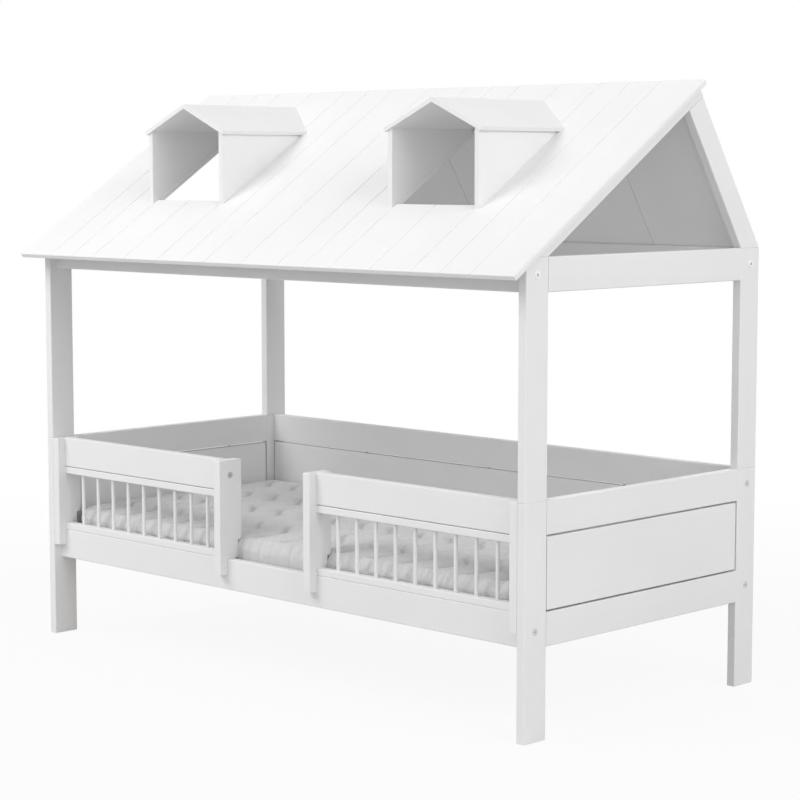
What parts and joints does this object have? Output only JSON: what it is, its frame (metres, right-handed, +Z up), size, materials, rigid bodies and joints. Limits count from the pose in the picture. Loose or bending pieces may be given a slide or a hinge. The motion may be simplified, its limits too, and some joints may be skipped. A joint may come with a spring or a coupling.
{
  "type": "house frame bed",
  "caption": "Child's house frame bed with panelled ends, spindle guards and an entry gap, under an uneven boarded roof with open dormers.",
  "frame": {"origin": "on the floor, under the middle of the bounding box", "axes": "+X along the bed's length, -Y towards the front with the guards and the entry gap, +Z up"},
  "size_m": [2.118, 1.1032, 1.7674],
  "materials": {
    "white_lacquer": "satin white lacquer",
    "mattress_cover": "quilted woven cover",
    "slat_pine": "planed, untreated",
    "dowel_beech": "turned, untreated",
    "bolt_steel": "zinc plated",
    "white_cap": "smooth"
  },
  "bodies": {
    "root": {"lower_post_front_left": "white_lacquer", "upper_post_front_left": "white_lacquer", "lower_post_back_left": "white_lacquer", "upper_post_back_left": "white_lacquer", "end_bottom_board_left": "white_lacquer", "end_centre_panel_left": "white_lacquer", "end_top_board_left": "white_lacquer", "gable_rail_left": "white_lacquer", "guard_outer_upright_left": "white_lacquer", "guard_inner_upright_left": "white_lacquer", "guard_top_rail_left": "white_lacquer", "guard_sub_rail_left": "white_lacquer", "guard_bottom_rail_left": "white_lacquer", "guard_spindles_left": "white_lacquer", "rafter_front_left": "white_lacquer", "rafter_back_left": "white_lacquer", "roof_boards_dormer_left": "white_lacquer", "roof_boards_outer_left": "white_lacquer", "dormer_left_cheek_left": "white_lacquer", "dormer_left_roof_left": "white_lacquer", "dormer_left_cheek_right": "white_lacquer", "dormer_left_roof_right": "white_lacquer", "lower_post_front_right": "white_lacquer", "upper_post_front_right": "white_lacquer", "lower_post_back_right": "white_lacquer", "upper_post_back_right": "white_lacquer", "end_bottom_board_right": "white_lacquer", "end_centre_panel_right": "white_lacquer", "end_top_board_right": "white_lacquer", "gable_rail_right": "white_lacquer", "guard_outer_upright_right": "white_lacquer", "guard_inner_upright_right": "white_lacquer", "guard_top_rail_right": "white_lacquer", "guard_sub_rail_right": "white_lacquer", "guard_bottom_rail_right": "white_lacquer", "guard_spindles_right": "white_lacquer", "rafter_front_right": "white_lacquer", "rafter_back_right": "white_lacquer", "roof_boards_dormer_right": "white_lacquer", "roof_boards_outer_right": "white_lacquer", "dormer_right_cheek_left": "white_lacquer", "dormer_right_roof_left": "white_lacquer", "dormer_right_cheek_right": "white_lacquer", "dormer_right_roof_right": "white_lacquer", "back_side_rail": "white_lacquer", "back_centre_panel": "white_lacquer", "back_top_board": "white_lacquer", "front_side_rail": "white_lacquer", "eave_beam_front": "white_lacquer", "eave_beam_back": "white_lacquer", "roof_boards_middle": "white_lacquer", "roof_boards_back": "white_lacquer", "ridge_batten": "white_lacquer", "slat_ledgers": "white_lacquer", "slats": "slat_pine", "mattress": "mattress_cover", "dowels": "dowel_beech", "bolts": "bolt_steel", "barrel_nuts": "bolt_steel", "bolt_collars": "white_cap"}
  },
  "joints": []
}
